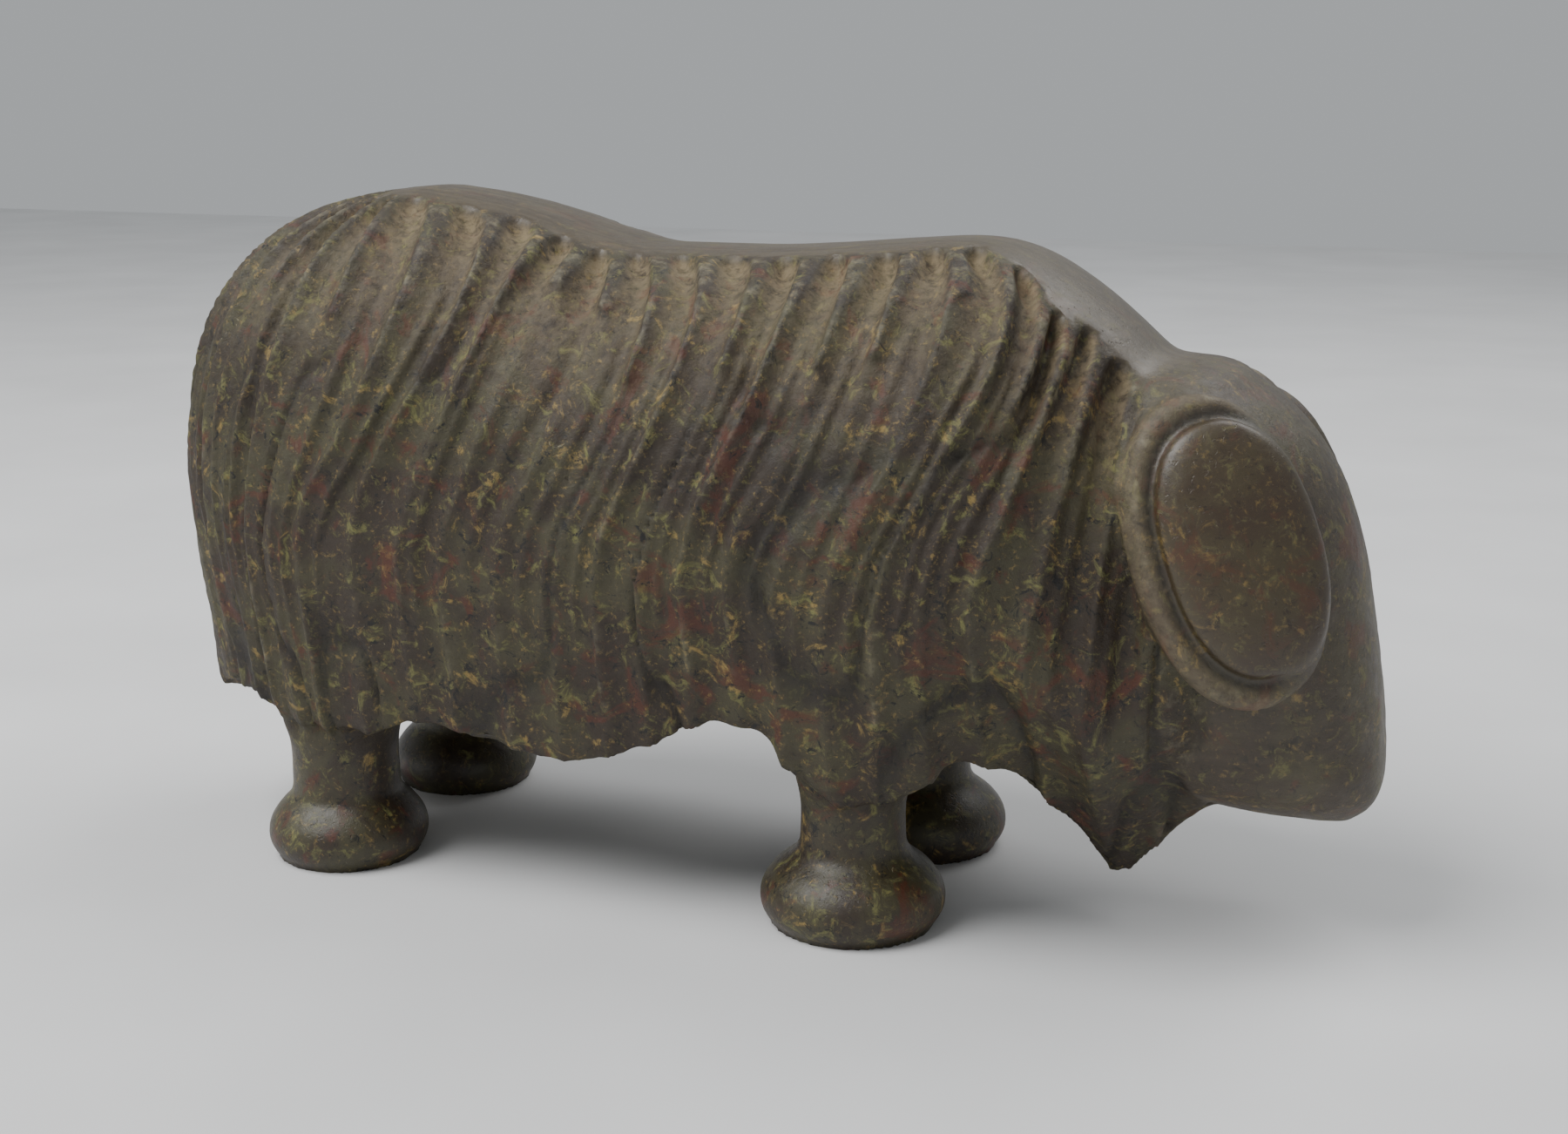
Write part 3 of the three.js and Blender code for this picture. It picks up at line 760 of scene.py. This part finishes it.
    roughness = addNode(tree, "ShaderNodeMapRange", Value=polishAndSheen, From_Min=0.0, From_Max=1.0, To_Min=0.62,
                        To_Max=0.4).outputs[0]
    uneven = addNode(tree, "ShaderNodeMapRange", Value=flecks, From_Min=0.3, From_Max=0.7, To_Min=-0.08,
                     To_Max=0.1).outputs[0]
    roughness = addNode(tree, "ShaderNodeMath", {"operation": "ADD"}, i0=roughness, i1=uneven).outputs[0]
    chalk = times(mark("dust"), 0.25)
    roughness = addNode(tree, "ShaderNodeMath", {"operation": "ADD", "use_clamp": True}, i0=roughness, i1=chalk).outputs[0]

    coarse = pattern(1.6, 6.0, 0.7, 0.4)
    pits = ramp(pattern(1.1, 2.0, 0.5, 0.0, (0.2, 0.9, 0.1)), 0.3, 0.36)
    strength = addNode(tree, "ShaderNodeMapRange", Value=polishAndSheen, From_Min=0.0, From_Max=1.0, To_Min=0.55,
                       To_Max=0.16).outputs[0]
    bump = addNode(tree, "ShaderNodeBump", Height=coarse, Strength=strength, Distance=0.0006).outputs[0]
    bump = addNode(tree, "ShaderNodeBump", Height=pits, Strength=0.25, Distance=0.0004, Normal=bump).outputs[0]
    shader = addNode(tree, "ShaderNodeBsdfPrincipled", Base_Color=colour, Roughness=roughness, Normal=bump, IOR=1.55)
    shader.inputs["Specular IOR Level"].default_value = 0.5
    addNode(tree, "ShaderNodeOutputMaterial", Surface=shader.outputs[0])
    return material


muskOx.data.materials.append(soapstoneMaterial())
print("stone finished")

studio = {
    "floorSize": 3.0,
    "floorColour": "#b9bcc0",
    "fill": 0.55,
    "key": 16.0,
    "rim": 5.0,
}


def floorMaterial():    # matte painted board with a very faint cloudiness
    material = bpy.data.materials.new("matte painted board")
    material.use_nodes = True
    tree = material.node_tree
    shader = tree.nodes["Principled BSDF"]
    place = addNode(tree, "ShaderNodeTexCoord").outputs["Object"]
    cloud = addNode(tree, "ShaderNodeTexNoise", Vector=place, Scale=12.0, Detail=3.0).outputs["Fac"]
    tone = addNode(tree, "ShaderNodeMapRange", Value=cloud, To_Min=0.62, To_Max=0.78).outputs[0]
    tree.links.new(addNode(tree, "ShaderNodeCombineColor", Red=tone, Green=tone, Blue=tone).outputs[0], shader.inputs["Base Color"])
    shader.inputs["Roughness"].default_value = 0.85
    return material


half = 0.5 * studio["floorSize"]
floorPoints = np.array([(-half, -half, 0), (half, -half, 0), (half, half, 0), (-half, half, 0)])
floor = bpy.data.objects.new("floor", meshFromArrays("floor", floorPoints, np.array([[0, 1, 2, 3]])))
floor.data.materials.append(floorMaterial())
bpy.context.scene.collection.objects.link(floor)

world = bpy.data.worlds.new("soft room")
world.use_nodes = True
world.node_tree.nodes["Background"].inputs["Color"].default_value = linearColour("#dfe3e6")
world.node_tree.nodes["Background"].inputs["Strength"].default_value = studio["fill"]
bpy.context.scene.world = world


def softLight(name, place, size, power):
    light = bpy.data.lights.new(name, "AREA")
    light.shape = "DISK"
    light.size = size
    light.energy = power
    lamp = bpy.data.objects.new(name, light)
    lamp.matrix_world = Matrix.Translation(place) @ (Vector((0, 0, 0.06)) - Vector(place)).to_track_quat("-Z", "Y").to_matrix().to_4x4()
    bpy.context.scene.collection.objects.link(lamp)


softLight("window", (-0.5, -0.45, 1.0), 0.9, studio["key"])
softLight("ceiling", (0.35, 0.5, 0.9), 0.8, studio["rim"])

# The camera stands ahead of and above the animal's right side, found from the four feet in the photo.
lens = {"focal": 48.0, "sensor": 36.0, "azimuth": 20.6, "elevation": 13.5, "distance": 0.3964, "height": 0.0593}
aim = Vector((0.0105 - 0.0005 * (rearEnd + frontEnd), 0.0, lens["height"]))
azimuth, elevation = math.radians(lens["azimuth"]), math.radians(lens["elevation"])
back = Vector((math.sin(azimuth) * math.cos(elevation), -math.cos(azimuth) * math.cos(elevation), math.sin(elevation)))
camera = bpy.data.objects.new("camera", bpy.data.cameras.new("camera"))
camera.data.lens = lens["focal"]
camera.data.sensor_width = lens["sensor"]
camera.data.clip_start = 0.01
camera.matrix_world = Matrix.Translation(aim + lens["distance"] * back) @ (-back).to_track_quat("-Z", "Y").to_matrix().to_4x4()
bpy.context.scene.collection.objects.link(camera)
bpy.context.scene.camera = camera
print("studio set")
